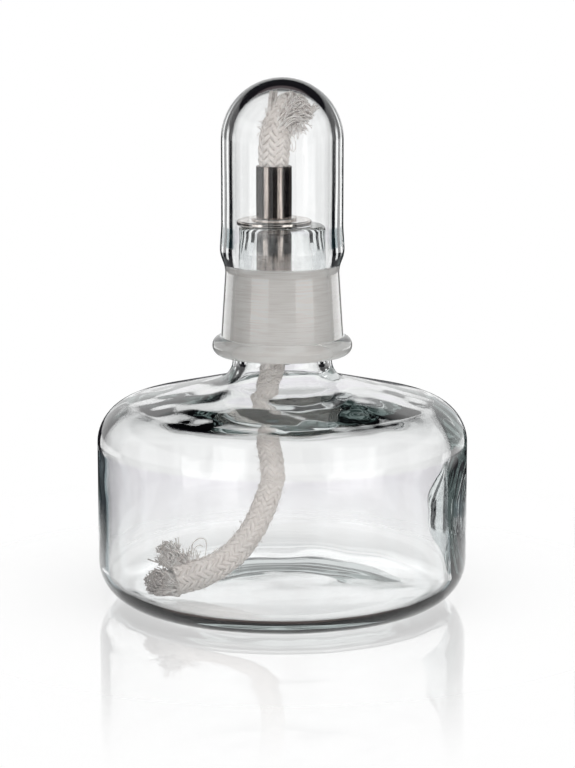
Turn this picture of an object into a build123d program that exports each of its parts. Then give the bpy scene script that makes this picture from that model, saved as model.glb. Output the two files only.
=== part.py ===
"""Glass spirit lamp: a squat blown reservoir with a ground neck, a loose metal wick holder,
a braided cotton wick and a domed glass cap that seats on the ground neck.

Millimetres, +Z up. The origin is the centre of the foot, on the surface the lamp stands on.
"""

import math
import os

from build123d import *

# Reservoir: outer form
BODY_RADIUS = 37.35
BODY_HEIGHT = 38.95  # where the wall's line meets the shoulder's slope
BASE_ROUND = 8.3
SHOULDER_ROUND = 8.2
SHOULDER_SLOPE = 13.45  # degrees above level
NECK_ROUND = 4.0  # hollow round from the shoulder into the neck
NECK_LENGTH = 4.5  # from the shoulder's line up to the ground cone
FOOT_RING_WIDTH = 4.0  # flat ring it stands on
PUNT_DEPTH = 1.2  # hollow under the middle of the base

# Reservoir: glass thickness
BODY_WALL = 1.7
FLOOR_THICKNESS = 3.2
SHOULDER_WALL = 2.2
NECK_FOOT_WALL = 2.8
NECK_TOP_WALL = 2.6  # at the narrow end of the cone

# Ground joint between neck and cap, 1 in 10 on the diameter
JOINT_LENGTH = 16.0
JOINT_LARGE_RADIUS = 10.0
JOINT_TAPER = 10.0
GROUND_CLEARANCE = 0.1

# Mouth of the neck, above the cone: its lip is thickened inwards
LIP_RADIUS = 8.66
LIP_BORE = 5.5
LIP_LENGTH = 8.9  # plain glass above the cone
LIP_STEP = 1.3  # height of the slope from the cone in to the lip
LIP_DEPTH = 3.0  # of the narrowest part of the bore
LIP_ROUND = 0.9
LIP_SWEEP = 6.0  # hollow round from the bore in to the lip

# Cap
CAP_RADIUS = 12.2
CAP_WALL = 2.2
CAP_DOME_HEIGHT = 43.25  # centre of the dome above the joint's foot
BEAD_RADIUS = 14.05
BEAD_ROUND = 1.85
SOCKET_FOOT_WALL = 2.15  # just above the bead
WAIST_RISE = 1.5  # the waist above the narrow end of the socket
WAIST_DEPTH = 0.85  # in from the plain wall
WAIST_ROUND = 5.0
FLARE_RISE = 3.1  # from the waist up to the widest place
SWELL = 0.35  # of the widest place beyond the plain wall
SWELL_LENGTH = 5.0  # from the widest place up to the plain wall
SOCKET_EDGE_ROUND = 0.6

# Wick holder: a tube pressed through a collar that lies loose on the lip
HOLDER_GAP = 0.3  # between tube and lip, on the side the holder has slid to
TUBE_RADIUS = 3.55
TUBE_WALL = 0.45
TUBE_ABOVE = 10.75  # above the collar
TUBE_BELOW = 20.2  # below the collar
TUBE_EDGE_ROUND = 0.15
COLLAR_RADIUS = 7.5
COLLAR_THICKNESS = 1.0
COLLAR_EDGE_ROUND = 0.35
COLLAR_RING_RADIUS = 4.55  # drawn edge round the hole
COLLAR_RING_HEIGHT = 0.45
COLLAR_RING_ROUND = 0.3
PRESS_CLEARANCE = 0.02
COLLAR_SEAT = 0.05

# Wick
WICK_CLEARANCE = 0.4  # in the tube
CROWN_UPRIGHT = 5.2  # of the wick above the tube, before it leans over
TAIL_UPRIGHT = 6.5  # of the wick below the tube, before it starts to wander
ARC_SHARE = 0.45  # of the shorter run beside a bend, taken up by the bend's arc

# Heights and radii that follow from the sizes above
slope = math.tan(math.radians(SHOULDER_SLOPE))
shoulder_drop = SHOULDER_WALL / math.cos(math.radians(SHOULDER_SLOPE))
shoulder_top = BODY_HEIGHT + (BODY_RADIUS - JOINT_LARGE_RADIUS) * slope
joint_foot = shoulder_top + NECK_LENGTH
joint_top = joint_foot + JOINT_LENGTH
joint_small_radius = JOINT_LARGE_RADIUS - JOINT_LENGTH / JOINT_TAPER / 2
holder_x = TUBE_RADIUS + HOLDER_GAP - LIP_BORE
wick_radius = TUBE_RADIUS - TUBE_WALL - WICK_CLEARANCE
neck_height = joint_top + LIP_STEP + LIP_LENGTH
collar_foot = neck_height + COLLAR_SEAT
collar_top = collar_foot + COLLAR_THICKNESS
tube_top = collar_top + TUBE_ABOVE
tube_foot = collar_foot - TUBE_BELOW
dome_centre = joint_foot + CAP_DOME_HEIGHT


def revolved(corners):
    """Turn a closed outline of (radius, height, corner round) about Z."""
    outline = Polyline(*[(r, z) for r, z, _ in corners], close=True)
    face = make_face(outline)
    for r, z, corner_round in corners:
        if corner_round:
            corner = face.vertices().sort_by_distance((r, z))[0]
            face = fillet(corner, corner_round)
    return revolve(Plane.XZ * face, Axis.Z)


def reservoir():
    """Bottle with a flat shoulder, a ground cone on its neck and a shallow punt below."""
    inner_radius = BODY_RADIUS - BODY_WALL
    bore = JOINT_LARGE_RADIUS - NECK_FOOT_WALL

    def shoulder(radius):
        return BODY_HEIGHT + (BODY_RADIUS - radius) * slope

    glass = revolved(
        [
            (0, 0, 0),
            (BODY_RADIUS, 0, BASE_ROUND),
            (BODY_RADIUS, BODY_HEIGHT, SHOULDER_ROUND),
            (JOINT_LARGE_RADIUS, shoulder_top, NECK_ROUND),
            (JOINT_LARGE_RADIUS, joint_foot, 0),
            (joint_small_radius, joint_top, 0),
            (LIP_RADIUS, joint_top + LIP_STEP, 0),
            (LIP_RADIUS, neck_height, LIP_ROUND),
            (LIP_BORE, neck_height, LIP_ROUND),
            (LIP_BORE, neck_height - LIP_DEPTH, LIP_SWEEP),
            (joint_small_radius - NECK_TOP_WALL, joint_top, LIP_SWEEP),
            (bore, joint_foot, 0),
            (bore, shoulder(bore) - shoulder_drop, NECK_ROUND + NECK_FOOT_WALL),
            (inner_radius, shoulder(inner_radius) - shoulder_drop, SHOULDER_ROUND - BODY_WALL),
            (inner_radius, FLOOR_THICKNESS, BASE_ROUND - BODY_WALL),
            (0, FLOOR_THICKNESS, 0),
        ]
    )
    punt_edge = BODY_RADIUS - BASE_ROUND - FOOT_RING_WIDTH
    punt_radius = (punt_edge**2 + PUNT_DEPTH**2) / (2 * PUNT_DEPTH)
    return glass - Pos(0, 0, PUNT_DEPTH - punt_radius) * Sphere(punt_radius)


def cap():
    """Bell of even wall: domed top, a waist, a tapered socket and a beaded rim."""
    socket_large = JOINT_LARGE_RADIUS + GROUND_CLEARANCE
    socket_small = joint_small_radius + GROUND_CLEARANCE
    inner_radius = CAP_RADIUS - CAP_WALL
    bead_height = joint_foot + BEAD_ROUND
    bead_top = bead_height + BEAD_ROUND
    waist = joint_top + WAIST_RISE
    swell = waist + FLARE_RISE
    bell = revolved(
        [
            (socket_large, joint_foot, SOCKET_EDGE_ROUND),
            (BEAD_RADIUS - BEAD_ROUND, joint_foot, 0),
            (socket_large + SOCKET_FOOT_WALL, bead_top, 0),
            (CAP_RADIUS - WAIST_DEPTH, waist, WAIST_ROUND),
            (CAP_RADIUS + SWELL, swell, WAIST_ROUND),
            (CAP_RADIUS, swell + SWELL_LENGTH, 0),
            (CAP_RADIUS, dome_centre, 0),
            (inner_radius, dome_centre, 0),
            (inner_radius, swell, WAIST_ROUND),
            (socket_small, joint_top, WAIST_ROUND),
        ]
    )
    bead_section = Pos(BEAD_RADIUS - BEAD_ROUND, bead_height) * Circle(BEAD_ROUND)
    bead = revolve(Plane.XZ * bead_section, Axis.Z)
    above = Pos(0, 0, dome_centre) * Cylinder(
        CAP_RADIUS, CAP_RADIUS, align=(Align.CENTER, Align.CENTER, Align.MIN)
    )
    dome = Pos(0, 0, dome_centre) * (Sphere(CAP_RADIUS) - Sphere(inner_radius)) & above
    return bell + bead + dome


def wick_tube():
    """Drawn metal tube, open at both ends, with its edges broken."""
    tube = revolved(
        [
            (TUBE_RADIUS - TUBE_WALL, tube_foot, TUBE_EDGE_ROUND),
            (TUBE_RADIUS, tube_foot, TUBE_EDGE_ROUND),
            (TUBE_RADIUS, tube_top, TUBE_EDGE_ROUND),
            (TUBE_RADIUS - TUBE_WALL, tube_top, TUBE_EDGE_ROUND),
        ]
    )
    return Pos(holder_x, 0, 0) * tube


def collar():
    """Turned disc with a low drawn ring round the tube, which is pressed through it."""
    hole = TUBE_RADIUS + PRESS_CLEARANCE
    disc = revolved(
        [
            (hole, collar_foot, 0),
            (COLLAR_RADIUS, collar_foot, COLLAR_EDGE_ROUND),
            (COLLAR_RADIUS, collar_top, COLLAR_EDGE_ROUND),
            (COLLAR_RING_RADIUS, collar_top, 0),
            (COLLAR_RING_RADIUS, collar_top + COLLAR_RING_HEIGHT, COLLAR_RING_ROUND),
            (hole, collar_top + COLLAR_RING_HEIGHT, 0),
        ]
    )
    return Pos(holder_x, 0, 0) * disc


def braid(name, points):
    """Round braid along straight runs joined by arcs as large as the runs allow."""
    route = [Vector(*point) for point in points]
    radii = []
    for before, corner, after in zip(route, route[1:], route[2:]):
        shorter = min((corner - before).length, (after - corner).length)
        half_turn = math.radians((corner - before).get_angle(after - corner)) / 2
        radii.append(ARC_SHARE * shorter / math.tan(half_turn))
    path = FilletPolyline(*route, radius=radii)
    section = Plane(route[0], z_dir=route[1] - route[0]) * Circle(wick_radius)
    solid = sweep(section, path)
    print(name, "length", round(path.length, 1), "radii", [round(radius, 1) for radius in radii])
    expected = math.pi * wick_radius**2 * path.length
    print(name, "volume", round(solid.volume), "section times length", round(expected))
    return solid


def wick_crown():
    """Stub above the tube: upright first, then leaning over under the dome."""
    return braid(
        "wick_crown",
        [
            (holder_x, 0, tube_top),
            (holder_x, 0, tube_top + CROWN_UPRIGHT),
            (holder_x + 1.4, 0, tube_top + 10.0),
            (holder_x + 2.9, 0, tube_top + 13.5),
        ],
    )


def wick_core():
    """Stretch inside the tube."""
    core = Cylinder(
        wick_radius, tube_top - tube_foot, align=(Align.CENTER, Align.CENTER, Align.MIN)
    )
    return Pos(holder_x, 0, tube_foot) * core


def wick_tail():
    """Free stretch that hangs through the neck, bends and lies on the floor of the reservoir."""
    return braid(
        "wick_tail",
        [
            (holder_x, 0.0, tube_foot),
            (holder_x, 0.0, tube_foot - TAIL_UPRIGHT),
            (-3.3, 0.1, 38.0),
            (-1.3, -0.2, 26.0),
            (-4.0, -1.8, 17.0),
            (-9.2, -5.4, 10.2),
            (-15.6, -9.4, 7.0),
            (-21.5, -11.6, 6.3),
        ],
    )


os.makedirs("parts", exist_ok=True)
for make in (reservoir, cap, wick_tube, collar, wick_crown, wick_core, wick_tail):
    export_step(make(), f"parts/{make.__name__}.step")
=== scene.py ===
# %% [markdown]
# # A glass spirit lamp
# The lamp has a squat glass reservoir, a tall glass cap that seats on a ground neck, a metal wick
# holder that lies loose on the lip, and a cotton wick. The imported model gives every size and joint.
# Here each visible surface is dressed: glass is turned on a lathe, the wick is braided strand by
# strand, and the metal gets the marks of drawing and polishing.

# %% Load the frame
import math
import random

import bmesh
import bpy
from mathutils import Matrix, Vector


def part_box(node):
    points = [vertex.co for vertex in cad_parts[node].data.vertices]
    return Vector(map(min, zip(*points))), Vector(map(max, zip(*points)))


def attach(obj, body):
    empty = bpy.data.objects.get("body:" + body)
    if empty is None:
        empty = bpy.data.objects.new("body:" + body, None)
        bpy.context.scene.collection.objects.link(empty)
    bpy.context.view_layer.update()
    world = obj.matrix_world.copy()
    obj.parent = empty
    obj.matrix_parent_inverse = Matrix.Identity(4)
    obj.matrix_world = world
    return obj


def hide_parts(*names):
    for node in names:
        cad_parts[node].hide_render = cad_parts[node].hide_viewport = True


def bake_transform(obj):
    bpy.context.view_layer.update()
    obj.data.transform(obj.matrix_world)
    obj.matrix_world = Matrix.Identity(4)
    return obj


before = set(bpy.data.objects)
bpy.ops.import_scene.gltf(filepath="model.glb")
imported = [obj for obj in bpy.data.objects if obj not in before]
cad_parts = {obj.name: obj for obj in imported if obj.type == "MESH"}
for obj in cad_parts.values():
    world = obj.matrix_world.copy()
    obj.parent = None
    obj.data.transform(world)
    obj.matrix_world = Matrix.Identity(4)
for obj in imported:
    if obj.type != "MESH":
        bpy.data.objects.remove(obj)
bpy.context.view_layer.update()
MM = 0.001

# %% [markdown]
# ## Camera
# The photograph was taken with a long lens from a little above the cap, so the ellipses of the
# rims are thin. The place, tilt and lens were worked out from those ellipses.

# %% Camera
CAMERA_PLACE = (0.00105, -0.536, 0.1412)
CAMERA_TILT = 10.3  # degrees below level
FOCAL_PIXELS, LONG_SIDE_PIXELS = 2700, 768

bpy.ops.object.camera_add(
    location=CAMERA_PLACE, rotation=(math.radians(90 - CAMERA_TILT), 0, 0)
)
camera = bpy.context.object
camera.data.sensor_width = 36
camera.data.lens = camera.data.sensor_width * FOCAL_PIXELS / LONG_SIDE_PIXELS
camera.data.clip_start = 0.01
bpy.context.scene.camera = camera
bpy.context.scene.view_settings.view_transform = "Standard"
print("camera", round(camera.data.lens, 1), "mm lens")

# %% [markdown]
# ## The wick's route
# A wick is one length of soft cord. It stands up out of the tube, leans over under the dome, and
# below the tube it hangs through the neck, bends and lies on the reservoir's floor. A NURBS curve
# through a few listed control points gives that slack line without corners.

# %% Wick route
tube_low, tube_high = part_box("wick_tube")
HOLDER_X = (tube_low.x + tube_high.x) / 2 / MM
TUBE_TOP, TUBE_FOOT = tube_high.z / MM, tube_low.z / MM
ROUTE = [
    (HOLDER_X + 2.9, 0.0, TUBE_TOP + 13.5),
    (HOLDER_X + 1.4, 0.0, TUBE_TOP + 10.0),
    (HOLDER_X, 0.0, TUBE_TOP + 5.2),
    (HOLDER_X, 0.0, TUBE_TOP),
    (HOLDER_X, 0.0, TUBE_FOOT),
    (HOLDER_X, 0.0, TUBE_FOOT - 6.5),
    (-3.3, 0.1, 38.0),
    (-1.3, -0.2, 26.0),
    (-4.0, -1.8, 17.0),
    (-9.2, -5.4, 10.2),
    (-15.6, -9.4, 7.0),
    (-21.5, -11.6, 6.3),
]


def nurbs_curve(name, routes, smoothness):
    """One curve object with a NURBS spline for each route, in millimetres."""
    curve = bpy.data.curves.new(name, "CURVE")
    curve.dimensions = "3D"
    for route in routes:
        spline = curve.splines.new("NURBS")
        spline.points.add(len(route) - 1)
        for point, place in zip(spline.points, route):
            point.co = (*(Vector(place) * MM), 1)
        spline.order_u = 3
        spline.use_endpoint_u = True
        spline.resolution_u = smoothness
    return bpy.data.objects.new(name, curve)


route_object = nurbs_curve("wick_route", [ROUTE], 40)
route_mesh = bpy.data.meshes.new_from_object(route_object)
wick_line = [vertex.co / MM for vertex in route_mesh.vertices]
bpy.data.objects.remove(route_object)
bpy.data.meshes.remove(route_mesh)

# %% [markdown]
# ## The braid
# The cord is a round braid: twelve strands wind one way and twelve the other, each over two and
# under two, which draws the chevrons. A bump pattern would stay flat at the edge of the picture,
# so each strand is modelled. First every point of the wick's line gets its distance from the top
# and two side directions that don't twist, so that strands can be placed around it.

# %% Places along the wick
def stations_of(line):
    """Each point of a line with its distance, its tangent and two steady side directions."""
    stations, travelled, side = [], 0.0, Vector((1, 0, 0))
    for before, here, after in zip(line[:1] + line, line, line[1:] + line[-1:]):
        travelled += (here - before).length
        along = (after - before).normalized()
        side = (side - along * side.dot(along)).normalized()
        stations.append((travelled, here, along, side, along.cross(side)))
    return stations


def blend_table(table, s):
    """Read a table of (distance, value) pairs with straight lines between them."""
    for (s0, v0), (s1, v1) in zip(table, table[1:]):
        if s <= s1:
            return v0 + (v1 - v0) * max(0.0, (s - s0) / (s1 - s0))
    return table[-1][1]


stations = stations_of(wick_line)
print(len(stations), "places along the wick")

# %% [markdown]
# ## One strand
# A strand spirals about the wick's line and rises and dips where it crosses the others. Real yarn
# is never quite even, so a slow and a quick wave let each strand stand a little proud or lie a
# little deep. The waves come from a numbered seed, so they are the same in every run.

# %% Path of a strand
SEED = 11
chance = random.Random(SEED)
STRANDS_EACH_WAY = 12
LAY = 17.0  # mm for one turn of a strand
STRAND_HALF_WIDTH, STRAND_HALF_THICKNESS = 0.5, 0.36
CROSSING_LIFT = 0.2
SLOW_SLACK, QUICK_SLACK = (0.07, 0.8), (0.05, 2.3)  # mm, and radians for each mm
TUBE_END = 14.0  # mm along the wick where it enters the tube
OUTER_RADIUS = [
    (0.0, 1.7), (2.0, 2.5), (5.0, 3.05), (9.0, 3.3), (12.5, 3.15), (TUBE_END, 3.0), (15.0, 2.8),
    (44.0, 2.75), (48.0, 2.6), (60.0, 2.5), (80.0, 2.5), (98.0, 2.65), (104.0, 3.1), (109.0, 3.3),
]


def strand_path(direction, number):
    """Centre points of one strand and its outward directions."""
    points, outwards = [], []
    slow, quick = chance.uniform(0, 6), chance.uniform(0, 6)
    for s, centre, along, side, third in stations:
        turn = direction * 2 * math.pi * s / LAY + 2 * math.pi * number / STRANDS_EACH_WAY
        crossing = 2 * STRANDS_EACH_WAY * s / LAY
        if direction > 0:
            lift = math.sin(math.pi / 2 * (2 * number + crossing + 0.5))
        else:
            lift = -math.sin(math.pi / 2 * (2 * number - crossing + 0.5))
        outward = side * math.cos(turn) + third * math.sin(turn)
        slack = SLOW_SLACK[0] * math.sin(SLOW_SLACK[1] * s + slow)
        slack += QUICK_SLACK[0] * math.sin(QUICK_SLACK[1] * s + quick)
        reach = blend_table(OUTER_RADIUS, s) - STRAND_HALF_THICKNESS + slack
        points.append(centre + outward * (reach - CROSSING_LIFT + CROSSING_LIFT * lift))
        outwards.append(outward)
    return points, outwards


STRAND_RADIUS = 2.2  # mm from the axis to the middle of a strand
lean = math.degrees(math.atan(2 * math.pi * STRAND_RADIUS / LAY))
print("strands lean about", round(lean), "degrees from the axis")

# %% [markdown]
# ## From rings to a skin
# A mesh tube is a row of rings joined by four-sided faces, with a cap at each end. A strand's
# rings are flattened, as yarn is where it is pulled tight. The UV map counts millimetres along the
# tube, so that the cotton's grain can follow the strand later.

# %% Rings to a mesh
RING_SIDES = 8


def strand_ring(place, along, outward, half_width, half_thickness):
    """One flattened ring of a strand, square to its direction."""
    across = along.cross(outward)
    ring = []
    for k in range(RING_SIDES):
        turn = 2 * math.pi * k / RING_SIDES
        ring.append(
            place
            + across * (half_width * math.cos(turn))
            + outward * (half_thickness * math.sin(turn))
        )
    return ring


def tube_mesh(name, tubes):
    """Mesh of several tubes, each a list of rings, with a UV map along them."""
    vertices, faces, marks = [], [], []
    for rings in tubes:
        first, sides = len(vertices), len(rings[0])
        travelled = [0.0]
        for a, b in zip(rings, rings[1:]):
            travelled.append(travelled[-1] + (b[0] - a[0]).length)
        for ring in rings:
            vertices.extend(point * MM for point in ring)
        for i in range(len(rings) - 1):
            for k in range(sides):
                a, b = first + i * sides + k, first + i * sides + (k + 1) % sides
                faces.append((a, b, b + sides, a + sides))
                u0, u1 = travelled[i], travelled[i + 1]
                v0, v1 = k / sides, (k + 1) / sides
                marks.append([(u0, v0), (u0, v1), (u1, v1), (u1, v0)])
        for i, turn in ((0, -1), (len(rings) - 1, 1)):
            faces.append([first + i * sides + k for k in range(sides)][::turn])
            marks.append([(travelled[i], 0.5)] * sides)
    mesh = bpy.data.meshes.new(name)
    mesh.from_pydata(vertices, [], faces)
    layer = mesh.uv_layers.new(name="along")
    for polygon, corners in zip(mesh.polygons, marks):
        for loop, uv in zip(polygon.loop_indices, corners):
            layer.data[loop].uv = uv
        polygon.use_smooth = True
    piece = bpy.data.objects.new(name, mesh)
    bpy.context.scene.collection.objects.link(piece)
    return piece


print("a strand has", RING_SIDES, "sides and", len(stations), "rings")

# %% [markdown]
# ## Braiding
# Twenty-four strands are wound about the line. A plain core fills the middle, as the inner yarns
# do in a real wick, so that no light comes through the gaps. Recalculate Outside then turns every
# face outwards.

# %% Braid the wick
CORE_INSET = 0.85  # mm from the braid's outside to the core


def make_outward(piece):
    """Turn the faces of closed shells outwards, as Recalculate Outside does."""
    bpy.ops.object.select_all(action="DESELECT")
    bpy.context.view_layer.objects.active = piece
    piece.select_set(True)
    bpy.ops.object.mode_set(mode="EDIT")
    bpy.ops.mesh.select_all(action="SELECT")
    bpy.ops.mesh.normals_make_consistent(inside=False)
    bpy.ops.object.mode_set(mode="OBJECT")


tubes = []
for direction in (1, -1):
    for number in range(STRANDS_EACH_WAY):
        points, outwards = strand_path(direction, number)
        rings = []
        for k, place in enumerate(points):
            before, after = points[max(k - 1, 0)], points[min(k + 1, len(points) - 1)]
            along = (after - before).normalized()
            outward = (outwards[k] - along * outwards[k].dot(along)).normalized()
            rings.append(
                strand_ring(place, along, outward, STRAND_HALF_WIDTH, STRAND_HALF_THICKNESS)
            )
        tubes.append(rings)
core = []
for s, centre, along, side, third in stations:
    radius = blend_table(OUTER_RADIUS, s) - CORE_INSET
    core.append(strand_ring(centre, along, side, radius, radius))
wick = tube_mesh("wick_braid", [*tubes, core])
make_outward(wick)
print("wick braid", len(wick.data.polygons), "faces")

# %% [markdown]
# ## Frayed ends
# Both ends of the wick were cut and have come undone. The crown is combed over to one side under
# the dome and the tail ends in a tuft. Loose fibres are thin curves: some pass stops that a whole
# bundle shares, and others leave a root and change course a little at every step.

# %% Routes of loose fibres
CURL_STEPS = 6


def wander(amount):
    """A small step in any direction."""
    return Vector([chance.uniform(-amount, amount) for _ in range(3)])


def bundle(count, stops, spread):
    """Routes of loose fibres that follow shared stops, each stop spread by its own amount."""
    routes = []
    for _ in range(count):
        offset = wander(1.0)
        routes.append(
            [
                Vector(stop) + offset * wide + wander(0.35 * wide)
                for stop, wide in zip(stops, spread)
            ]
        )
    return routes


def curls(count, root, root_spread, heading, length, bend, droop=0.0, fan=0.5):
    """Routes of loose ends that leave a root and change course a little at every step."""
    routes = []
    for _ in range(count):
        course = Vector(heading) + wander(fan)
        route = [Vector(root) + wander(root_spread)]
        for _ in range(CURL_STEPS):
            course = (course.normalized() + wander(bend) + Vector((0, 0, -droop))).normalized()
            route.append(route[-1] + course * (length / CURL_STEPS * chance.uniform(0.7, 1.3)))
        routes.append(route)
    return routes


print("loose ends take", CURL_STEPS, "steps, drawn from seed", SEED)

# %% [markdown]
# ## Fuzz, and room under the dome
# Short fibres stand off any cotton cord and blur its outline, so some are scattered over the
# braid. The crown has to fit under the glass dome: points that stray past it are drawn back
# towards its centre.

# %% Fuzz and the dome
CAP_RADIUS = 12.2
DOME_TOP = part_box("cap")[1].z / MM
DOME_CENTRE, DOME_ROOM = Vector((0, 0, DOME_TOP - CAP_RADIUS)), 9.75


def fuzz(count, first, last, length):
    """Short fibres that stand off the braid between two distances along the wick."""
    within = [station for station in stations if first < station[0] < last]
    routes = []
    for _ in range(count):
        s, centre, along, side, third = chance.choice(within)
        turn = chance.uniform(0, 2 * math.pi)
        outward = side * math.cos(turn) + third * math.sin(turn)
        start = centre + outward * (blend_table(OUTER_RADIUS, s) - 0.2)
        course = along * chance.uniform(-1, 1) + outward * chance.uniform(0.2, 0.6) + wander(0.4)
        middle = start + course.normalized() * (length * 0.55)
        end = middle + (course + wander(0.8)).normalized() * (length * 0.45)
        routes.append([start, middle, end])
    return routes


def under_dome(routes):
    """Keep points inside the cap's dome."""
    for route in routes:
        for point in route:
            away = point - DOME_CENTRE
            if point.z > DOME_CENTRE.z and away.length > DOME_ROOM:
                point[:] = DOME_CENTRE + away.normalized() * DOME_ROOM
    return routes


print("the dome leaves", DOME_ROOM, "mm about height", round(DOME_CENTRE.z, 1))

# %% [markdown]
# ## Fibres as fine tubes
# A curve with a bevel depth becomes a fine tube. Each set of routes has its own thickness, so each
# is made as one curve, turned into a mesh and joined to the rest with Join. Hair particles would
# be lighter, but they don't export as a mesh.

# %% Fibres to a mesh
FIBRE_STEPS = 4  # rings between two points of a route


def fibre_piece(name, sets):
    """Mesh of bevelled curves: sets is a list of (routes, thickness)."""
    parts = []
    for routes, thickness in sets:
        strand = nurbs_curve(name, routes, FIBRE_STEPS)
        strand.data.bevel_depth = thickness / 2 * MM
        strand.data.bevel_resolution = 0
        strand.data.use_fill_caps = True
        mesh = bpy.data.meshes.new_from_object(strand)
        bpy.data.objects.remove(strand)
        part = bpy.data.objects.new(name, mesh)
        bpy.context.scene.collection.objects.link(part)
        parts.append(part)
    bpy.ops.object.select_all(action="DESELECT")
    for part in parts:
        part.select_set(True)
    bpy.context.view_layer.objects.active = parts[0]
    bpy.ops.object.join()
    piece = bpy.context.object
    piece.name = name
    bpy.ops.object.shade_smooth()
    make_outward(piece)
    print(name, "has", len(piece.data.polygons), "faces")
    return piece


print("fibres are drawn with", FIBRE_STEPS, "steps between points")

# %% [markdown]
# ## Crown
# The top of the wick has come undone. Most fibres are combed to the right and curl over, a short
# horn stands on the left, a few threads hang down the front, and one twig of fibres pokes out on
# the right. Each lock is a bundle of its own, because one even brush of fibres looks like a broom.

# %% Crown of loose fibres
combed = bundle(
    120,
    [(-0.6, 0, 94.5), (-0.1, 0, 98.5), (1.6, -0.2, 102.0), (3.8, -0.4, 100.4), (4.2, -0.4, 98.8)],
    [1.9, 1.9, 1.6, 1.2, 1.2],
)
front_sweep = curls(90, (-0.3, -1.9, 95.8), 1.1, (0.5, -0.05, 1.1), 6.0, 0.15, 0.16, 0.2)
top_curls = curls(80, (1.0, -0.9, 99.2), 1.4, (0.9, -0.1, 0.5), 4.0, 0.3, 0.25, 0.3)
horn = bundle(30, [(-2.3, -0.6, 95.5), (-2.2, -0.6, 99.5), (-1.7, -0.6, 102.8)], [0.8, 0.6, 0.7])
hanging = curls(45, (2.2, -1.9, 97.3), 0.7, (0.4, -0.1, -0.9), 3.6, 0.35)
threads = [
    [(1.2, -2.2, 95.5), (2.9, -2.4, 93.4), (2.4, -2.5, 90.4), (1.6, -2.4, 91.4)],
    [(1.3, -2.2, 94.0), (2.2, -2.6, 92.0), (1.9, -2.6, 90.8), (1.4, -2.5, 92.0)],
    [(2.4, -2.0, 97.4), (4.2, -2.2, 97.6), (5.0, -2.2, 96.4), (5.7, -2.1, 95.5)],
]
twig = bundle(9, [(2.0, -1.6, 97.4), (4.3, -1.7, 97.2), (5.3, -1.7, 98.4)], [0.4, 0.3, 0.25])
twig_ends = bundle(14, [(4.6, -1.7, 97.6), (5.6, -1.7, 98.7), (6.6, -1.6, 99.9)], [0.3, 0.3, 0.6])
crown_fibres = fibre_piece(
    "wick_crown_fibres",
    [
        (under_dome(combed + horn), 0.2),
        (under_dome(front_sweep + top_curls), 0.27),
        (under_dome(hanging), 0.14),
        (threads, 0.2),
        (under_dome(twig + twig_ends), 0.24),
        (under_dome(fuzz(220, 1.0, 7.8, 1.3)), 0.08),
    ],
)

# %% [markdown]
# ## Mops and strand ends
# A frayed end swells into a rounded head: its fibres leave one root, reach the skin of a ball and
# curl back along it. Strands that came undone less far end in small fans. Points that would sink
# into the floor are lifted onto it, which is quicker than a cloth or hair simulation and is the
# same in every run.

# %% Mops and strand ends
FLOOR_LEVEL = 3.6  # mm, just above the glass
STRAND_FAN = [0.25, 0.25, 0.3, 0.35, 0.45, 0.55, 0.7]  # mm, wider at each step


def above_floor(routes):
    """Keep points over the reservoir's floor."""
    for route in routes:
        for point in route:
            point.z = max(point.z, FLOOR_LEVEL)
    return routes


def strand_ends(count, fibres, *course):
    """Fans of fine fibres, one for each strand that has come undone."""
    routes = []
    for path in curls(count, *course):
        routes += bundle(fibres, path, STRAND_FAN)
    return routes


def mop(count, root, root_spread, centre, radius):
    """Routes of loose ends that swell into a rounded head and curl back along its skin."""
    routes = []
    for _ in range(count):
        start = Vector(root) + wander(root_spread)
        out = wander(1.0).normalized()
        skin = Vector(centre) + out * (radius * chance.uniform(0.6, 1.0))
        course = (out + wander(0.7)).normalized()
        curl = Vector(centre) + course * (radius * chance.uniform(0.8, 1.05))
        routes.append([start, (start + skin) / 2 + wander(0.5), skin, curl])
    return routes


print("loose ends stay above", FLOOR_LEVEL, "mm")

# %% [markdown]
# ## Tail tuft
# The tail lies on the glass and has opened into two rounded heads, one over the other. A fringe
# and a few spikes stand clear of them, and stray threads loop out, one of them wide.

# %% Tail tuft
upper_lobe = mop(190, (-19.8, -10.8, 8.4), 1.2, (-22.5, -11.0, 11.4), 2.9)
lower_lobe = mop(300, (-21.0, -11.8, 6.2), 1.8, (-24.1, -12.4, 6.0), 3.3)
under_lobe = strand_ends(10, 8, (-20.0, -12.6, 5.2), 1.1, (-0.8, -0.3, -0.2), 4.2, 0.35, 0.0, 0.5)
fringe = strand_ends(8, 7, (-18.2, -9.9, 8.8), 0.9, (-0.35, -0.1, 0.9), 3.0, 0.3, 0.0, 0.4)
spikes = curls(9, (-20.6, -10.4, 11.0), 0.5, (-0.25, 0.0, 1.4), 3.0, 0.2)
big_loop = [(-17.6, -9.6, 8.6), (-18.6, -9.2, 12.2), (-16.6, -9.2, 14.6), (-14.6, -9.2, 13.6)]
stray = [
    [*big_loop, (-15.6, -8.8, 9.4)],
    [(-17.4, -9.6, 8.6), (-18.0, -9.2, 11.6), (-16.6, -9.2, 13.2), (-15.8, -9.2, 12.6)],
    [(-14.6, -8.4, 9.4), (-14.2, -8.4, 11.2), (-12.8, -8.4, 12.0)],
    [(-23.0, -11.4, 9.6), (-25.0, -11.8, 10.0), (-26.6, -12.0, 10.8)],
    [(-24.0, -12.6, 6.4), (-27.4, -13.0, 5.6), (-25.0, -13.6, 3.8), (-22.6, -13.4, 3.6)],
]
tail_fibres = fibre_piece(
    "wick_tail_fibres",
    [
        (above_floor(lower_lobe + under_lobe), 0.19),
        (above_floor(upper_lobe + fringe), 0.18),
        (spikes, 0.22),
        (stray, 0.24),
        (above_floor(fuzz(380, 48.0, 104.0, 1.2)), 0.07),
    ],
)

# %% [markdown]
# ## Picking a corner
# An operator works on what is selected. A corner of an outline is picked by its place, as a click
# would pick it: everything is let go, and the vertex nearest to that place is taken.


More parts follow.
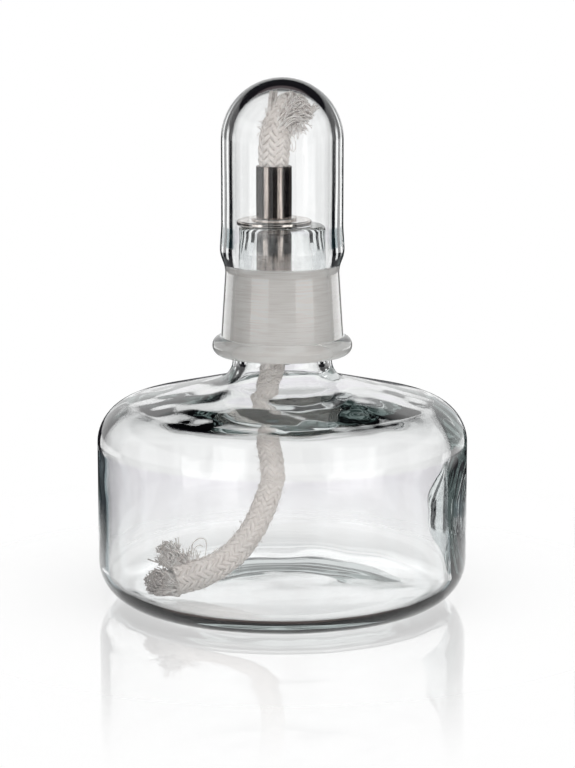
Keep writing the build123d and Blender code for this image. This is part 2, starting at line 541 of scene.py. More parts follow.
# %% Pick a corner
def pick_vertex(mesh, r, z):
    """Select only the vertex of the half outline that lies at this radius and height."""
    edit = bmesh.from_edit_mesh(mesh)
    place = Vector((r * MM, 0, z * MM))
    for vertex in edit.verts:
        vertex.select = False
    nearest = min(edit.verts, key=lambda vertex: (vertex.co - place).length)
    nearest.select = True
    edit.select_flush_mode()
    bmesh.update_edit_mesh(mesh)


print("corners are picked by radius and height")

# %% [markdown]
# ## Turning glass
# Blown and turned glass is round about one axis, so both glass pieces are lathe work. Half of the
# outline is drawn by extruding one vertex from corner to corner, corners are rounded with a
# vertex bevel, and Spin turns the line about the axis into a closed wall with two faces. Light
# bends at both faces, so the wall needs its real thickness.

# %% Lathe
TURN_STEPS = 240
ROUND_STEP = 6  # degrees for each segment of a rounded corner
SMOOTH_ANGLE = 28  # degrees: sharper edges stay sharp


def lathe(name, corners):
    """Draw corners of (radius, height, corner round) in millimetres and spin them about Z."""
    bpy.ops.object.select_all(action="DESELECT")
    bpy.ops.mesh.primitive_plane_add(size=MM)
    piece = bpy.context.object
    piece.name = piece.data.name = name
    bpy.ops.object.mode_set(mode="EDIT")
    bpy.ops.mesh.select_mode(type="VERT")
    bpy.ops.mesh.merge(type="CENTER")
    r, z, _ = corners[0]
    bpy.ops.transform.translate(value=(r * MM, 0, z * MM))
    for (r0, z0, _), (r1, z1, _) in zip(corners, corners[1:]):
        step = ((r1 - r0) * MM, 0, (z1 - z0) * MM)
        bpy.ops.mesh.extrude_region_move(TRANSFORM_OT_translate={"value": step})
    for before, corner, after in zip(corners, corners[1:], corners[2:]):
        if not corner[2]:
            continue
        inward = Vector((corner[0] - before[0], corner[1] - before[1]))
        onward = Vector((after[0] - corner[0], after[1] - corner[1]))
        turn = inward.angle(onward)
        pick_vertex(piece.data, corner[0], corner[1])
        bpy.ops.mesh.bevel(
            offset=corner[2] * math.tan(turn / 2) * MM,
            offset_type="OFFSET",
            segments=max(3, round(math.degrees(turn) / ROUND_STEP)),
            affect="VERTICES",
        )
    bpy.ops.mesh.select_all(action="SELECT")
    bpy.ops.mesh.spin(steps=TURN_STEPS, angle=2 * math.pi, center=(0, 0, 0), axis=(0, 0, 1))
    bpy.ops.mesh.select_all(action="SELECT")
    bpy.ops.mesh.remove_doubles(threshold=0.002 * MM)
    bpy.ops.mesh.normals_make_consistent(inside=False)
    bpy.ops.object.mode_set(mode="OBJECT")
    bpy.ops.object.shade_smooth_by_angle(angle=math.radians(SMOOTH_ANGLE))
    print(name, len(piece.data.polygons), "faces")
    return piece


print("the lathe turns in", TURN_STEPS, "steps")

# %% [markdown]
# ## Reservoir
# The outline runs from the middle of the punt, out along the foot, up the wall, over the sloping
# shoulder to the neck and its ground cone, then back down the inside. Extra points on the inner
# runs leave something to push about later, when the inside is made uneven.

# %% Reservoir
BODY_RADIUS, BODY_HEIGHT = 37.35, 38.95
SLOPE = math.tan(math.radians(13.45))
JOINT_FOOT, JOINT_TOP = 49.99, 65.99
NECK_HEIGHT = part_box("reservoir")[1].z / MM
INNER_RADIUS, INNER_FLOOR, INNER_NECK = 35.65, 2.7, 7.2


def shoulder(radius, drop=0.0):
    """Height of the shoulder at a radius, or of the inner skin below it."""
    return BODY_HEIGHT + (BODY_RADIUS - radius) * SLOPE - drop


def between(first, last, margin, step):
    """Extra points on a straight run, clear of the rounded corners at its ends."""
    first, last = Vector(first), Vector(last)
    run = (last - first).length
    count = int((run - 2 * margin) / step)
    marks = [margin + (run - 2 * margin) * k / count for k in range(count + 1)]
    return [(*(first + (last - first) * (mark / run)), 0) for mark in marks]


inner_neck = (INNER_NECK, shoulder(INNER_NECK, 2.262))
inner_edge = (INNER_RADIUS, shoulder(INNER_RADIUS, 2.5))
inner_foot, inner_middle = (INNER_RADIUS, INNER_FLOOR), (0, INNER_FLOOR)
reservoir = lathe(
    "reservoir_glass",
    [
        (0, 1.2, 0),
        (12, 1.0, 20),
        (25.05, 0, 6),
        (BODY_RADIUS, 0, 8.3),
        (BODY_RADIUS, BODY_HEIGHT, 8.2),
        (10, shoulder(10), 4.0),
        (10, JOINT_FOOT, 0),
        (9.2, JOINT_TOP, 0.4),
        (8.66, JOINT_TOP + 1.3, 0.8),
        (8.66, NECK_HEIGHT, 0.9),
        (5.5, NECK_HEIGHT, 0.9),
        (5.5, NECK_HEIGHT - 3.0, 6.0),
        (6.6, JOINT_TOP, 6.0),
        (INNER_NECK, JOINT_FOOT, 0),
        (*inner_neck, 6.8),
        *between(inner_neck, inner_edge, 7.0, 1.0),
        (*inner_edge, 7.4),
        *between(inner_edge, inner_foot, 8.0, 1.2),
        (*inner_foot, 5.0),
        *between(inner_foot, inner_middle, 7.0, 1.5),
        (*inner_middle, 0),
    ],
)

# %% [markdown]
# ## Uneven inside
# Blown glass is smooth outside, where the mould or the tool touched it, and uneven inside. Those
# swells bend the view into dark wavy shapes at the shoulder and ripples on the floor. Two vertex
# groups say how much each point of the inner skin may move: one for the swells all round, and one
# for the glass that ran down and stayed thicker at the front of the shoulder.

# %% Where the inside may move
FLOOR_SHARE = 0.15  # the floor is calmer than the shoulder
RUN_SIDE = Vector((0.5, -0.87))  # the glass ran to the front, a little to the right
RUN_RING = [(7.5, 0.0), (12, 1.0), (29.5, 0.0)]  # thickest 12 mm from the axis
inner_skin = reservoir.vertex_groups.new(name="inner_skin")
thick_run = reservoir.vertex_groups.new(name="thick_run")
moved = 0
for vertex in reservoir.data.vertices:
    radius, height = math.hypot(vertex.co.x, vertex.co.y) / MM, vertex.co.z / MM
    facing_in = vertex.normal.z < -0.3 if height > 30 else vertex.normal.z > 0.3
    on_shoulder = 36 < height < 48 and facing_in and 8 < radius < 36
    on_floor = abs(height - INNER_FLOOR) < 0.5 and facing_in and radius < 30
    if on_shoulder:
        fade = min(1.0, (radius - 8) / 6, max(0.0, (31 - radius) / 5))
        inner_skin.add([vertex.index], fade, "REPLACE")
        facing = max(0.0, vertex.co.xy.normalized().dot(RUN_SIDE))
        ring = blend_table(RUN_RING, radius)
        thick_run.add([vertex.index], ring * (0.3 + 0.7 * facing**2), "REPLACE")
    elif on_floor:
        fade = min(1.0, (30 - radius) / 6)
        inner_skin.add([vertex.index], FLOOR_SHARE * fade, "REPLACE")
    moved += on_shoulder or on_floor
print(moved, "points of the inner skin may move")

# %% [markdown]
# ## Swells and the thick run
# Displace pushes points along their normals. With a cloud texture it gives soft swells. Without
# one it thickens the glass evenly, as far as the vertex group allows.

# %% Swell the inside
swell = bpy.data.textures.new("blown_swell", "CLOUDS")
swell.noise_scale = 9 * MM
swell.noise_depth = 1
SWELL_DEPTH, RUN_DEPTH = 0.8, 2.2  # mm
bpy.ops.object.select_all(action="DESELECT")
bpy.context.view_layer.objects.active = reservoir
reservoir.select_set(True)


def displace(piece, group, depth, middle, texture=None):
    """Push the points of a vertex group along their normals and apply the modifier."""
    modifier = piece.modifiers.new(group, "DISPLACE")
    modifier.vertex_group = group
    modifier.strength = depth * MM
    modifier.mid_level = middle
    if texture:
        modifier.texture, modifier.texture_coords = texture, "LOCAL"
    bpy.ops.object.modifier_apply(modifier=group)


displace(reservoir, "inner_skin", SWELL_DEPTH, 0.5, swell)
displace(reservoir, "thick_run", RUN_DEPTH, 0.0)
print("inner skin swells by", SWELL_DEPTH, "mm and the run adds", RUN_DEPTH, "mm")

# %% [markdown]
# ## Thick right wall
# The photograph shows one lump in the right wall, where more glass had gathered in the mould. A
# short upright line of the inner wall is pulled inwards with proportional editing, first wide and
# shallow, then narrow and deep. The outer wall stays as it was, because only points that are joined
# to the line over a short way along the skin go with it.

# %% Thick right wall
INNER_SKIN = (25, 36)  # mm from the axis, short of the outer skin
LINE_WIDTH = 0.4  # mm each way


def pull_wall(low, high, pull, spread):
    """Pull a short upright line of the right inner wall inwards, and its surroundings with it."""
    bpy.ops.object.mode_set(mode="EDIT")
    bpy.ops.mesh.select_all(action="DESELECT")
    edit = bmesh.from_edit_mesh(reservoir.data)
    ridge = [
        vertex
        for vertex in edit.verts
        if INNER_SKIN[0] * MM < vertex.co.x < INNER_SKIN[1] * MM
        and abs(vertex.co.y) < LINE_WIDTH * MM
        and low * MM < vertex.co.z < high * MM
    ]
    for vertex in ridge:
        vertex.select = True
    edit.select_flush_mode()
    bmesh.update_edit_mesh(reservoir.data)
    bpy.ops.transform.translate(
        value=(-pull * MM, 0, 0),
        use_proportional_edit=True,
        use_proportional_connected=True,
        proportional_edit_falloff="SMOOTH",
        proportional_size=spread * MM,
    )
    bpy.ops.object.mode_set(mode="OBJECT")
    print("wall pulled in", pull, "mm by", len(ridge), "points")


pull_wall(13, 29, 1.0, 20)
pull_wall(14.5, 19.5, 5.0, 11)

# %% [markdown]
# ## Cap
# The cap is a drawn glass tube, closed to a dome at one end. At the other it is drawn in to a
# waist, opened to a cone that was ground to fit the neck, and finished with a thick rolled bead.

# %% Cap
CAP_WALL = 2.2
cap = lathe(
    "cap_glass",
    [
        (0, DOME_TOP, 0),
        (CAP_RADIUS, DOME_TOP, CAP_RADIUS - 0.01),
        (CAP_RADIUS, 75.6, 20),
        (12.55, 70.6, 5),
        (11.35, 67.5, 5),
        (12.25, 53.7, 0),
        (14.05, 53.7, 1.84),
        (14.05, JOINT_FOOT, 1.84),
        (10.1, JOINT_FOOT, 0.6),
        (9.3, JOINT_TOP, 5),
        (CAP_RADIUS - CAP_WALL, 70.6, 5),
        (CAP_RADIUS - CAP_WALL, DOME_TOP - CAP_WALL, CAP_RADIUS - CAP_WALL - 0.01),
        (0, DOME_TOP - CAP_WALL, 0),
    ],
)

# %% [markdown]
# ## Colours and nodes
# Colours are written as the hex codes a painter would pick, and Blender's shaders want linear
# light, so one function converts them. A finish is a tree of nodes. Another function adds a node
# with its settings and links it, so that each finish reads as a short list.


# %% Colour and node helpers
def hex_colour(code):
    """sRGB hex code to linear RGBA."""
    channels = [int(code[i : i + 2], 16) / 255 for i in (1, 3, 5)]
    linear = [c / 12.92 if c <= 0.04045 else ((c + 0.055) / 1.055) ** 2.4 for c in channels]
    return (*linear, 1.0)


def add_node(tree, kind, sockets=None, stops=(), **settings):
    """Add a node: sockets maps an input to a value, a hex colour, or the node that feeds it."""
    node = tree.nodes.new(kind)
    for name, value in settings.items():
        setattr(node, name, value)
    for stop, (position, code) in zip(node.color_ramp.elements if stops else (), stops):
        stop.position, stop.color = position, hex_colour(code)
    for key, value in (sockets or {}).items():
        if isinstance(value, bpy.types.Node):
            value = next(output for output in value.outputs if output.enabled)
        if isinstance(value, bpy.types.NodeSocket):
            tree.links.new(value, node.inputs[key])
        else:
            node.inputs[key].default_value = hex_colour(value) if isinstance(value, str) else value
    return node


def new_tree(name):
    """An empty material, its node tree and the piece's own coordinates."""
    material = bpy.data.materials.new(name)
    material.use_nodes = True
    tree = material.node_tree
    tree.nodes.clear()
    return material, tree, add_node(tree, "ShaderNodeTexCoord").outputs["Object"]


print("white is", hex_colour("#ffffff"), "mid grey is", round(hex_colour("#808080")[0], 3))

# %% [markdown]
# ## Where the glass is ground
# A ground joint was rubbed with grit until it turned white: the cone outside the neck and the
# socket inside the cap. Painting the faces would leave a stepped edge, so the zone is worked out
# from height and from the distance to the axis, and it fades in as grinding does.

# %% Ground zone
NECK_ZONE = (JOINT_FOOT, JOINT_TOP + 1.3, 8.0, 8.2)
SOCKET_ZONE = (JOINT_FOOT, JOINT_TOP + 2.4, 10.6, 10.4)
FOOT_FADE, TOP_FADE = 0.15, 0.25  # mm each way


def ground_zone(tree, place, low, high, clear_radius, ground_radius):
    """1 between two heights, once the radius has passed from clear to ground, and 0 elsewhere."""
    axes = add_node(tree, "ShaderNodeSeparateXYZ", {0: place}).outputs
    flat = add_node(tree, "ShaderNodeCombineXYZ", {"X": axes["X"], "Y": axes["Y"]})
    radius = add_node(tree, "ShaderNodeVectorMath", {0: flat}, operation="LENGTH")
    zone = 1.0
    for measure, start, end in (
        (axes["Z"], low - FOOT_FADE, low + FOOT_FADE),
        (axes["Z"], high + TOP_FADE, high - TOP_FADE),
        (radius, clear_radius, ground_radius),
    ):
        limits = {"Value": measure, 1: start * MM, 2: end * MM}
        within = add_node(tree, "ShaderNodeMapRange", limits)
        zone = add_node(tree, "ShaderNodeMath", {0: zone, 1: within}, operation="MULTIPLY")
    return zone


print("the neck is ground from", NECK_ZONE[0], "to", NECK_ZONE[1], "mm")

# %% [markdown]
# ## Glass
# Lamp glass is soda-lime glass: clear, bending light by 1.52, with a trace of iron that shows
# blue-green only where light runs a long way inside it, at the edges. That colour belongs to the
# glass and not to its skin, so it is absorbed in the volume. Slow waves in the skin make what it
# mirrors swim a little. Where it is ground it is rough and powdery white, with fine rings left by
# the turning grit, and only part of the light still gets through.

# %% Glass finish
GROUND_CLEARNESS, GROUND_ROUGHNESS = 0.37, (0.42, 0.62)
GROUND_WHITES = ((0.3, "#f0eae6"), (0.6, "#fffcf9"))
GRIT, WAVE = 0.9 * MM, 14 * MM
RING_LENGTH, RING_WIDTH = 5 * MM, 0.22 * MM  # wider than real scratches, so that they show
IRON_TINT, IRON_DENSITY = "#9ccac8", 9.0


def glass_material(name, zone, waviness):
    """Clear and mirror-smooth, so the eye sees what it bends; matt and white where ground."""
    material, tree, place = new_tree(name)
    ground = ground_zone(tree, place, *zone)
    grit = add_node(tree, "ShaderNodeTexNoise", {"Vector": place, "Scale": 1 / GRIT, "Detail": 3.0})
    rough, roughest = GROUND_ROUGHNESS
    matt = add_node(tree, "ShaderNodeMapRange", {"Value": grit, 3: rough, 4: roughest})
    roughness = add_node(tree, "ShaderNodeMath", {0: ground, 1: matt}, operation="MULTIPLY")
    turned = (1 / RING_LENGTH, 1 / RING_LENGTH, 1 / RING_WIDTH)
    rings = add_node(tree, "ShaderNodeMapping", {"Vector": place, "Scale": turned})
    scratches = add_node(tree, "ShaderNodeTexNoise", {"Vector": rings, "Scale": 1.0, "Detail": 3.0})
    powder = add_node(tree, "ShaderNodeValToRGB", {0: scratches}, GROUND_WHITES)
    white = add_node(tree, "ShaderNodeMix", {0: ground, 6: "#ffffff", 7: powder}, data_type="RGBA")
    clear = add_node(tree, "ShaderNodeMapRange", {"Value": ground, 3: 1.0, 4: GROUND_CLEARNESS})
    slow = {"Vector": place, "Scale": 1 / WAVE, "Detail": 1.0}
    waves = add_node(tree, "ShaderNodeTexNoise", slow)
    relief = {"Strength": 1.0, "Distance": waviness * MM, "Height": waves}
    shader = add_node(
        tree,
        "ShaderNodeBsdfPrincipled",
        {
            "Base Color": white,
            "Roughness": roughness,
            "IOR": 1.52,
            "Transmission Weight": clear,
            "Normal": add_node(tree, "ShaderNodeBump", relief),
        },
    )
    iron = {"Color": IRON_TINT, "Density": IRON_DENSITY}
    tint = add_node(tree, "ShaderNodeVolumeAbsorption", iron)
    add_node(tree, "ShaderNodeOutputMaterial", {"Surface": shader, "Volume": tint})
    return material


reservoir.data.materials.append(glass_material("soda_lime_glass_blown", NECK_ZONE, 0.25))
cap.data.materials.append(glass_material("soda_lime_glass_drawn", SOCKET_ZONE, 0.1))
print("glass on", reservoir.name, "and", cap.name)

# %% [markdown]
# ## Metal
# The tube is drawn steel: fine lines run along it, and a few of them are dull, so that what it
# mirrors breaks into upright streaks. The collar is pressed and polished, and its top mirrors the
# room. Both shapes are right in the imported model, so those solids stay and only get a new finish.

# %% Metal finishes
LINE_DEPTH = 0.02 * MM


def drawn_metal(name, colours, roughness, streak_length, streak_width):
    """Steel with lines along Z: bright where clean, darker and duller in the lines."""
    material, tree, place = new_tree(name)
    across, along = 1 / (streak_width * MM), 1 / (streak_length * MM)
    lines = add_node(tree, "ShaderNodeMapping", {"Vector": place, "Scale": (across, across, along)})
    streaks = add_node(tree, "ShaderNodeTexNoise", {"Vector": lines, "Scale": 1.0, "Detail": 4.0})
    shades = ((0.3, colours[0]), (0.62, colours[1]))
    gloss = {"Value": streaks, 1: 0.3, 2: 0.7, 3: roughness[1], 4: roughness[0]}
    relief = {"Strength": 0.25, "Distance": LINE_DEPTH, "Height": streaks}
    shader = add_node(
        tree,
        "ShaderNodeBsdfPrincipled",
        {
            "Base Color": add_node(tree, "ShaderNodeValToRGB", {0: streaks}, shades),
            "Metallic": 1.0,
            "Roughness": add_node(tree, "ShaderNodeMapRange", gloss),
            "Normal": add_node(tree, "ShaderNodeBump", relief),
        },
    )
    add_node(tree, "ShaderNodeOutputMaterial", {"Surface": shader})
    return material


tube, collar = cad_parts["wick_tube"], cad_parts["collar"]
for node, finish in (
    # The tube's two colours are far darker than bare steel: painted shade, for the dim room it
    # mirrors inside the cap.
    (tube, drawn_metal("steel_drawn_painted_shade", ("#544c49", "#9a918b"), (0.09, 0.22), 9.0, 0.35)),
    (collar, drawn_metal("steel_polished", ("#a59d98", "#d2cbc6"), (0.06, 0.16), 3.0, 0.8)),
):
    node.data.materials.clear()
    node.data.materials.append(finish)
print("metal on", tube.name, "and", collar.name)

# %% [markdown]
# ## Cotton
# Bleached cotton yarn is a warm grey-white and quite matt, and its fuzz catches light at the edge,
# which Sheen gives. Its own fibres run along each strand, so the grain follows the strand's UV map.
# Faint stains cross the strands, so those are placed by the piece's own coordinates.

# %% Cotton finish
GRAIN = (0.5, 7.0, 1.0)  # for each mm along a strand, and for each turn round it
GRAIN_DEPTH, STAIN = 0.12 * MM, 6 * MM
YARN_SHADES = ((0.3, "#d2cac6"), (0.65, "#f6f2ee"))
cotton, tree, place = new_tree("cotton_braided")
along = add_node(tree, "ShaderNodeUVMap", uv_map="along")
drawn_out = add_node(tree, "ShaderNodeMapping", {"Vector": along, "Scale": GRAIN})
grain = add_node(tree, "ShaderNodeTexNoise", {"Vector": drawn_out, "Scale": 1.0, "Detail": 4.0})
yarn = add_node(tree, "ShaderNodeValToRGB", {0: grain}, YARN_SHADES)
stain = add_node(tree, "ShaderNodeTexNoise", {"Vector": place, "Scale": 1 / STAIN, "Detail": 2.0})
relief = {"Strength": 0.6, "Distance": GRAIN_DEPTH, "Height": grain}
shader = add_node(
    tree,
    "ShaderNodeBsdfPrincipled",
    {
        "Base Color": add_node(
            tree, "ShaderNodeMix", {0: stain, 6: yarn, 7: "#e6ded9"}, data_type="RGBA"
        ),
        "Roughness": 0.95,
        "Sheen Weight": 0.25,
        "Normal": add_node(tree, "ShaderNodeBump", relief),
    },
)
add_node(tree, "ShaderNodeOutputMaterial", {"Surface": shader})
wick.data.materials.append(cotton)
print("cotton on", wick.name)

# %% [markdown]
# ## Loose cotton
# Single fibres are painted whiter than the braid: painted light for the light that passes between
# them, and against the shade where they hide one another. The colour darkens towards the left
# end of the tail. A fibre is too thin to show a grain of its own, so small patches make
# neighbours differ instead.

# %% Loose cotton
PATCH, DARKER_FROM, DARKER_TO = 0.8 * MM, -22.0 * MM, -27.5 * MM
# Whiter than the braid's yarn: painted light where the fibres shade one another.
FIBRE_SHADES_PAINTED_LIGHT = ((0.35, "#e4dcd8"), (0.6, "#fdfaf7"))
loose, tree, place = new_tree("cotton_frayed")
patches = add_node(tree, "ShaderNodeTexNoise", {"Vector": place, "Scale": 1 / PATCH, "Detail": 2.0})
clean = add_node(tree, "ShaderNodeValToRGB", {0: patches}, FIBRE_SHADES_PAINTED_LIGHT)
# The colour turns a darker grey-brown towards the left end of the tail.
leftward = add_node(tree, "ShaderNodeSeparateXYZ", {0: place}).outputs["X"]
leftward_darkening = add_node(tree, "ShaderNodeMapRange", {"Value": leftward, 1: DARKER_FROM, 2: DARKER_TO})
darkened_leftward = add_node(tree, "ShaderNodeMix", {0: leftward_darkening, 6: clean, 7: "#aea49f"}, data_type="RGBA")
fluff = {"Base Color": darkened_leftward, "Roughness": 0.9, "Sheen Weight": 0.3}
shader = add_node(tree, "ShaderNodeBsdfPrincipled", fluff)
add_node(tree, "ShaderNodeOutputMaterial", {"Surface": shader})
for piece in (crown_fibres, tail_fibres):
    piece.data.materials.clear()
    piece.data.materials.append(loose)
print("loose cotton on", crown_fibres.name, "and", tail_fibres.name)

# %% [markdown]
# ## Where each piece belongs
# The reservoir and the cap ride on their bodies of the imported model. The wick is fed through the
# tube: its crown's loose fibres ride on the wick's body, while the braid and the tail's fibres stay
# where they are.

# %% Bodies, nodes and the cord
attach(reservoir, "reservoir")
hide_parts("reservoir")
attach(cap, "cap")
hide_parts("cap")
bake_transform(wick)
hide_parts("wick_crown", "wick_core", "wick_tail")
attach(crown_fibres, "wick")
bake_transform(tail_fibres)

# %% [markdown]
# ## Floor
# The lamp stands on a glossy white sheet. A hair of air stays under the foot, as under any real
# one: where glass and sheet share a face, light leaves the glass straight into the sheet, and the
# dark line that the foot draws by turning light back inside itself is lost.

# %% Floor
AIR_GAP, SHEET_RADIUS = 0.1 * MM, 200 * MM
bpy.ops.object.select_all(action="DESELECT")
bpy.ops.mesh.primitive_circle_add(
    vertices=96, radius=SHEET_RADIUS, fill_type="NGON", location=(0, 0, -AIR_GAP)
)
floor = bpy.context.object
floor.name = "floor"
print("floor", round(AIR_GAP / MM, 2), "mm under the foot")

# %% [markdown]
# ## Glow of the sheet
# A photographer's sheet is lit until it is nearly white, and the reservoir gathers light on it like
# a lens. Tracing that light would take long and leave specks, so the sheet glows a little: more
# under the lamp, and for light that comes through the glass, behind it.

# %% Glow of the sheet
FLOOR_GLOW, POOL_GLOW, BACK_GLOW = 0.33, 0.2, 0.5
sheet_finish, tree, place = new_tree("acrylic_white_gloss")
ray = add_node(tree, "ShaderNodeLightPath").outputs
reach = add_node(tree, "ShaderNodeVectorMath", {0: place}, operation="LENGTH")
pool_edge = {1: 36 * MM, 2: 30 * MM, 3: FLOOR_GLOW, 4: FLOOR_GLOW + POOL_GLOW}
pool = add_node(tree, "ShaderNodeMapRange", {"Value": reach, **pool_edge})
direct = {0: ray["Is Camera Ray"], 1: ray["Is Glossy Ray"]}
seen = add_node(tree, "ShaderNodeMath", direct, operation="MAXIMUM")
depth_axis = add_node(tree, "ShaderNodeSeparateXYZ", {0: place}).outputs["Y"]
back_edge = {1: 5 * MM, 2: 20 * MM, 4: BACK_GLOW}
backward = add_node(tree, "ShaderNodeMapRange", {"Value": depth_axis, **back_edge})
near = add_node(tree, "ShaderNodeMapRange", {"Value": reach, 1: 40 * MM, 2: 34 * MM})
back = add_node(tree, "ShaderNodeMath", {0: backward, 1: near}, operation="MULTIPLY")
through_glass = {0: back, 1: ray["Is Transmission Ray"]}
back_seen = add_node(tree, "ShaderNodeMath", through_glass, operation="MULTIPLY")
glow = add_node(tree, "ShaderNodeMath", {0: seen, 1: pool, 2: back_seen}, operation="MULTIPLY_ADD")
sheet = add_node(
    tree,
    "ShaderNodeBsdfPrincipled",
    {
        "Base Color": "#b8b8b8",
        "Roughness": 0.03,
        "IOR": 3.0,
        "Emission Color": "#ffffff",
        "Emission Strength": glow,
    },
)
print("sheet glows", FLOOR_GLOW, "and", POOL_GLOW, "more under the lamp")

# %% [markdown]
# ## The sheet's edge
# Far from the lamp the sheet turns clear, so that no edge shows against the background. It is also
# clear for light that a glass wall has turned back inside itself: what that light sees is drawn in
# the room, where its colour can be chosen.

# %% The sheet's edge
FADE_FROM, FADE_TO = 45 * MM, 120 * MM
fade = add_node(
    tree,
    "ShaderNodeMapRange",
    {"Value": reach, 1: FADE_FROM, 2: FADE_TO},
    interpolation_type="SMOOTHSTEP",
)
turns = {0: ray["Is Transmission Ray"], 1: ray["Glossy Depth"]}
turned = add_node(tree, "ShaderNodeMath", turns, operation="MULTIPLY", use_clamp=True)
open_floor = add_node(tree, "ShaderNodeMath", {0: fade, 1: turned}, operation="MAXIMUM")
clear = add_node(tree, "ShaderNodeBsdfTransparent")
mixed = add_node(tree, "ShaderNodeMixShader", {0: open_floor, 1: sheet, 2: clear})
add_node(tree, "ShaderNodeOutputMaterial", {"Surface": mixed})
floor.data.materials.append(sheet_finish)
print("sheet fades from", round(FADE_FROM / MM), "to", round(FADE_TO / MM), "mm")

# %% [markdown]
# ## Soft boxes
# Two tall soft boxes stand at the camera's left and right, a little dimmer on the left. They light
# the outside of the lamp and its shadow. Their reflections are drawn in the room instead, where
# their edges can be placed, so the boxes themselves don't show in glossy surfaces.

# %% Soft boxes
BOX_WIDTH, BOX_HEIGHT, BOX_AWAY, BOX_LEVEL, AIM_LEVEL = 0.5, 0.9, 0.8, 0.1, 0.06
for name, side, radiance in (("soft_box_left", -47, 0.25), ("soft_box_right", 40, 0.4)):
    angle = math.radians(side)
    place = Vector((math.sin(angle) * BOX_AWAY, -math.cos(angle) * BOX_AWAY, BOX_LEVEL))
    bpy.ops.object.light_add(type="AREA", location=place)
    lamp = bpy.context.object
    lamp.name = name
    lamp.rotation_euler = (Vector((0, 0, AIM_LEVEL)) - place).to_track_quat("-Z", "Y").to_euler()
    lamp.data.shape = "RECTANGLE"
    lamp.data.size, lamp.data.size_y = BOX_WIDTH, BOX_HEIGHT
    lamp.data.energy = radiance * math.pi * BOX_WIDTH * BOX_HEIGHT
    lamp.visible_camera = lamp.visible_glossy = False
    print(name, "at", side, "degrees,", round(lamp.data.energy, 2), "W")

# %% [markdown]
# ## The room
# Clear glass shows only what it bends into view, so it needs a room. Cards and cloths could be
# modelled, but the world's nodes can draw them at once from a ray's direction: its elevation, and
# rings of upright panels, light and dark in turn, like the white and black cards that stand round
# glass in a studio.

# %% Room directions
world = bpy.data.worlds.new("studio")
world.use_nodes = True
bpy.context.scene.world = world
tree = world.node_tree
tree.nodes.clear()
ray = add_node(tree, "ShaderNodeLightPath").outputs
direction = add_node(tree, "ShaderNodeTexCoord").outputs["Generated"]
axes = add_node(tree, "ShaderNodeSeparateXYZ", {0: direction}).outputs


def rise(low, high):
    """0 at one elevation in degrees and 1 at the other, and level beyond them."""
    low, high = math.sin(math.radians(low)), math.sin(math.radians(high))
    return add_node(tree, "ShaderNodeMapRange", {"Value": axes["Z"], 1: low, 2: high})


def panels(pairs, start, end, swing=0.0):
    """1 on one kind of panel in a ring and 0 on the other, the ring swung round by degrees."""
    wave = add_node(tree, "ShaderNodeMath", {0: axes["X"], 1: axes["Y"]}, operation="ARCTAN2")
    steps = (("SUBTRACT", math.radians(swing)), ("MULTIPLY", float(pairs)), ("COSINE", 0.0))
    for operation, amount in steps:
        wave = add_node(tree, "ShaderNodeMath", {0: wave, 1: amount}, operation=operation)
    return add_node(tree, "ShaderNodeMapRange", {"Value": wave, 1: start, 2: end})


narrow, bars = panels(15, -0.5, -0.25), panels(11, -0.25, 0.05)
broad, wide = panels(4, -0.2, -0.35), panels(4, 0.35, 0.6, 50)
upper_room = rise(-11, -9.5)  # walls of the reservoir look below this, the cap and tube above
print("rings of 15, 11 and 4 panels drawn")

# %% [markdown]
# ## Which light it is
# Light Path counts how often a ray was mirrored, how many skins of glass it has crossed and whether
# a matt surface scattered it. Those counts tell the edge of a wall from the metal behind it, so
# each can be given the part of the room that it shows in the photograph.

# %% Masks by kind of light
masks = {}
for name, operation, first, second in (
    ("inside_wall", "GREATER_THAN", ray["Transmission Depth"], 2.5),
    ("turned_back", "GREATER_THAN", ray["Glossy Depth"], 0.5),
    ("many_turns", "GREATER_THAN", ray["Glossy Depth"], 4.5),
    ("scattered", "GREATER_THAN", ray["Diffuse Depth"], 0.5),
    ("way_out", "MULTIPLY", rise(2, 4), rise(28, 24)),
    ("eye_level", "MULTIPLY", rise(-4, -2), rise(30, 26)),
    ("window_height", "MULTIPLY", rise(-13.6, -13.3), rise(2, 0)),
):
    masks[name] = add_node(tree, "ShaderNodeMath", {0: first, 1: second}, operation=operation)
six_skins = {0: ray["Transmission Depth"], 1: 6.0, 2: 0.5}
at_metal = add_node(tree, "ShaderNodeMath", six_skins, operation="COMPARE")
long_ends = {0: masks["inside_wall"], 1: masks["way_out"]}
long_out = add_node(tree, "ShaderNodeMath", long_ends, operation="MULTIPLY")
panes = {0: masks["window_height"], 1: broad}
window = add_node(tree, "ShaderNodeMath", panes, operation="MULTIPLY")
behind = add_node(tree, "ShaderNodeMapRange", {"Value": axes["Y"], 1: -0.1, 2: 0.1})
print(len(masks) + 4, "masks")

# %% [markdown]
# ## Light turned back inside the glass
# At the edge of a wall, light is turned back inside the glass and comes from the side: narrow
# panels draw the fine dark and light lines there. From the foot it comes from steeply below and
# from the dome from above, and both show dark bands. Light that has turned many times is a dim
# grey-green. Each row names a view, its mask, and what is seen where the mask is 0 and 1.

# %% Edge lines
views = [
    ("light_panel", upper_room, "#859498", "#f4f4f4"),
    ("dark_panel", upper_room, "#0c1c20", "#101014"),
    ("wall_lines", narrow, "light_panel", "dark_panel"),
    ("foot_band", rise(-52, -42), "#4a3e3b", "#040405"),
    ("walls", rise(-22, -30), "wall_lines", "foot_band"),
    ("dome_band", rise(36, 41), "#141216", "#564e50"),
    ("edges", rise(0, 5), "walls", "dome_band"),
    ("dim_lines", narrow, "#7e8886", "#323e3c"),
    ("long_way", long_out, "dim_lines", "#d4d7d7"),
]
print(len(views), "views for the edges")

# %% [markdown]
# ## What the metal and the neck show
# Inside the cap the steel mirrors tall soft boxes with gloom between them, which gives the tube its
# upright light stripes. The boxes are brighter than white card. The clear part of the neck shows
# black and white bars.

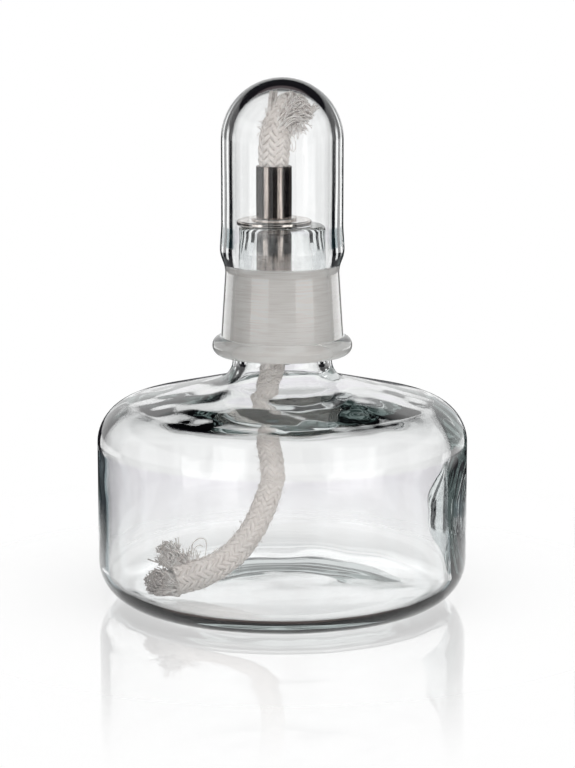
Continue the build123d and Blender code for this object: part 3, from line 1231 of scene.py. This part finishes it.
# %% Metal and neck
BOX_LIGHT = (2.2, 2.2, 2.2, 1)
views += [
    ("box_light", upper_room, "#606064", BOX_LIGHT),
    ("gloom", upper_room, "#747478", "#101014"),
    ("tall_box", behind, "box_light", "#5a5658"),
    ("tall_boxes", wide, "gloom", "tall_box"),
    ("standing", rise(-14, -12.5), "#dcdede", "tall_boxes"),
    ("upward", rise(22, 28), "#ffffff", "#5a6264"),
    ("metal", rise(1, 4), "standing", "upward"),
    ("neck_bars", bars, "#ffffff", "#08090a"),
    ("neck", rise(0, 3), "neck_bars", "#e6e7e8"),
    ("past_glass", at_metal, "metal", "neck"),
    ("few_turns", masks["inside_wall"], "edges", "past_glass"),
    ("turned", masks["many_turns"], "few_turns", "long_way"),
]
print(len(views), "views with the metal and the neck")

# %% [markdown]
# ## What each kind of ray sees
# Straight through the glass lies the white background, dark only high up. A ray that an outer skin
# mirrors sees soft windows in a dark room and a white band at eye level. A ray straight from the
# camera sees white. The loop turns every row into a Mix node.

# %% Views by ray
views += [
    ("backdrop", rise(-12, -9), "#f4f2f6", "#ffffff"),
    ("straight", rise(16, 24), "backdrop", "#303436"),
    ("through", masks["turned_back"], "straight", "turned"),
    ("low_sheet", rise(-16, -14.2), "#8a8a8c", "#26262a"),
    ("windows", window, "low_sheet", "box_light"),
    ("mirrored", masks["eye_level"], "windows", "#ffffff"),
    ("by_glass", ray["Is Transmission Ray"], "mirrored", "through"),
    ("all", ray["Is Camera Ray"], "by_glass", "#ffffff"),
]
view = {}
for name, mask, first, second in views:
    sides = {6: view.get(first, first), 7: view.get(second, second)}
    view[name] = add_node(tree, "ShaderNodeMix", {0: mask, **sides}, data_type="RGBA")
sight = add_node(tree, "ShaderNodeBackground", {"Color": view["all"]})
print(len(view), "views drawn")

# %% [markdown]
# ## Fill light
# Cotton and ground glass sit behind clear glass, which the soft boxes' light crosses badly. They
# gather light from the whole room, so a soft fill comes from all round, strongest from the front
# and above. Only light that a matt surface scatters uses it.

# %% Fill
KEY_SIDE = Vector((0.2, -0.86, 0.47)).normalized()
FILL_LOW, FILL_HIGH = 0.42, 1.75
facing_key = {0: direction, 1: KEY_SIDE}
toward_key = add_node(tree, "ShaderNodeVectorMath", facing_key, operation="DOT_PRODUCT")
levels = {"Value": toward_key, 1: -0.2, 2: 0.95, 3: FILL_LOW, 4: FILL_HIGH}
soft_key = add_node(tree, "ShaderNodeMapRange", levels)
fill = add_node(tree, "ShaderNodeBackground", {"Color": "#ffffff", "Strength": soft_key})
room = add_node(tree, "ShaderNodeMixShader", {0: masks["scattered"], 1: sight, 2: fill})
add_node(tree, "ShaderNodeOutputWorld", {"Surface": room})
print("room drawn with", len(tree.nodes), "nodes")

# %% [markdown]
# ## Light inside the wall
# Light that enters the thick shoulder at a low angle is turned back from face to face many times
# before it gets out. Blender stops at four turns and then shows black, so a glass object gets more.

# %% Turns inside the glass
light_paths = bpy.context.scene.cycles
light_paths.glossy_bounces, light_paths.max_bounces = 12, 24
print("up to", light_paths.glossy_bounces, "turns inside a wall")
